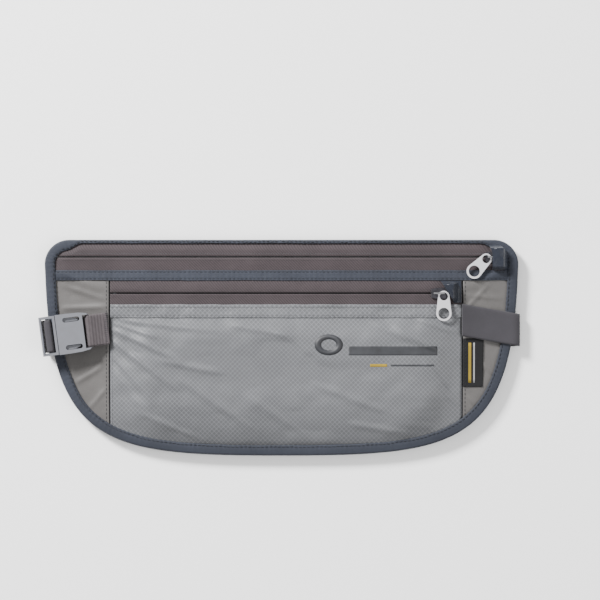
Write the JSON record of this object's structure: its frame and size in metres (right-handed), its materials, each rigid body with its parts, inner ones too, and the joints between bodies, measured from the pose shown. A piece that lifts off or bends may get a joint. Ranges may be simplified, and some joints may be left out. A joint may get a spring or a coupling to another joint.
{
  "type": "money belt",
  "caption": "Flat zipped waist pouch with a shielded lining, a front pocket, an elastic strap and a side-release buckle.",
  "frame": {"origin": "middle of the pouch's outline, at the level of what its folded strap lies on", "axes": "+X along the belt towards the strap's sewn end, +Y towards the zips' edge, +Z out of the pouch's face"},
  "size_m": [0.2942, 0.1322, 0.0148],
  "materials": {
    "back_fabric": "plain woven polyester, matt",
    "shield_film": "metallised lining, satin",
    "ripstop": "ripstop nylon with a fine light grid, slight sheen",
    "side_fabric": "warm grey nylon, slight sheen",
    "binding_tape": "blue-grey woven tape, puckered at the stitching",
    "zip_tape": "brown-grey twill tape",
    "zip_coil": "nylon coil",
    "slider_metal": "gunmetal with a worn bright bridge",
    "pull_metal": "grey paint, light edges",
    "strap_elastic": "brushed elastic, flat",
    "stub_elastic": "gathered elastic with ribs",
    "buckle_plastic": "moulded blue-grey plastic, satin",
    "label_weave": "black woven label with plain stripes"
  },
  "bodies": {
    "root": {"back_panel": "back_fabric", "shield_lining": "shield_film", "divider_panel": "back_fabric", "front_panel": "ripstop", "side_panel_left": "side_fabric", "side_panel_right": "side_fabric", "front_hem": "ripstop", "mid_strip": "binding_tape", "edge_binding": "binding_tape", "upper_tape_top": "zip_tape", "upper_tape_bottom": "zip_tape", "upper_zip_coils": "zip_coil", "lower_tape_top": "zip_tape", "lower_tape_bottom": "zip_tape", "lower_zip_coils": "zip_coil", "upper_garage": "binding_tape", "lower_garage": "binding_tape", "waist_strap": "strap_elastic", "stub_strap": "stub_elastic", "buckle_socket": "buckle_plastic", "side_label": "label_weave"},
    "upper_slider": {"upper_slider": "slider_metal"},
    "upper_pull": {"upper_pull": "pull_metal"},
    "lower_slider": {"lower_slider": "slider_metal"},
    "lower_pull": {"lower_pull": "pull_metal"},
    "plug": {"buckle_plug": "buckle_plastic", "strap_end": "strap_elastic"},
    "latch_upper": {"buckle_latch_upper": "buckle_plastic"},
    "latch_lower": {"buckle_latch_lower": "buckle_plastic"}
  },
  "joints": [
    {"name": "upper_zip", "type": "slide", "parent": "root", "child": "upper_slider", "axis": [-1, 0, 0], "range_m": [0, 0.255]},
    {"name": "upper_pull_lift", "type": "hinge", "parent": "upper_slider", "child": "upper_pull", "pos_m": [0.12704, 0.05614, 0.00875], "axis": [-0.7071, 0.7071, 0], "range_deg": [0, 75]},
    {"name": "lower_zip", "type": "slide", "parent": "root", "child": "lower_slider", "axis": [-1, 0, 0], "range_m": [0, 0.19]},
    {"name": "lower_pull_lift", "type": "hinge", "parent": "lower_slider", "child": "lower_pull", "pos_m": [0.099, 0.03425, 0.01055], "axis": [-1, 0, 0], "range_deg": [0, 32]},
    {"name": "plug_release", "type": "slide", "parent": "root", "child": "plug", "axis": [-0.9912, -0.1323, 0], "range_m": [0, 0.024], "deforming": ["buckle_latch_upper", "buckle_latch_lower"]},
    {"name": "latch_upper_squeeze", "type": "hinge", "parent": "plug", "child": "latch_upper", "pos_m": [-0.13625, 0.01601, 0.01165], "axis": [0, 0, -1], "range_deg": [0, 8], "stiffness_Nm_per_rad": 0.4},
    {"name": "latch_lower_squeeze", "type": "hinge", "parent": "plug", "child": "latch_lower", "pos_m": [-0.13408, -0.00024, 0.01165], "axis": [0, 0, 1], "range_deg": [0, 8], "stiffness_Nm_per_rad": 0.4}
  ]
}
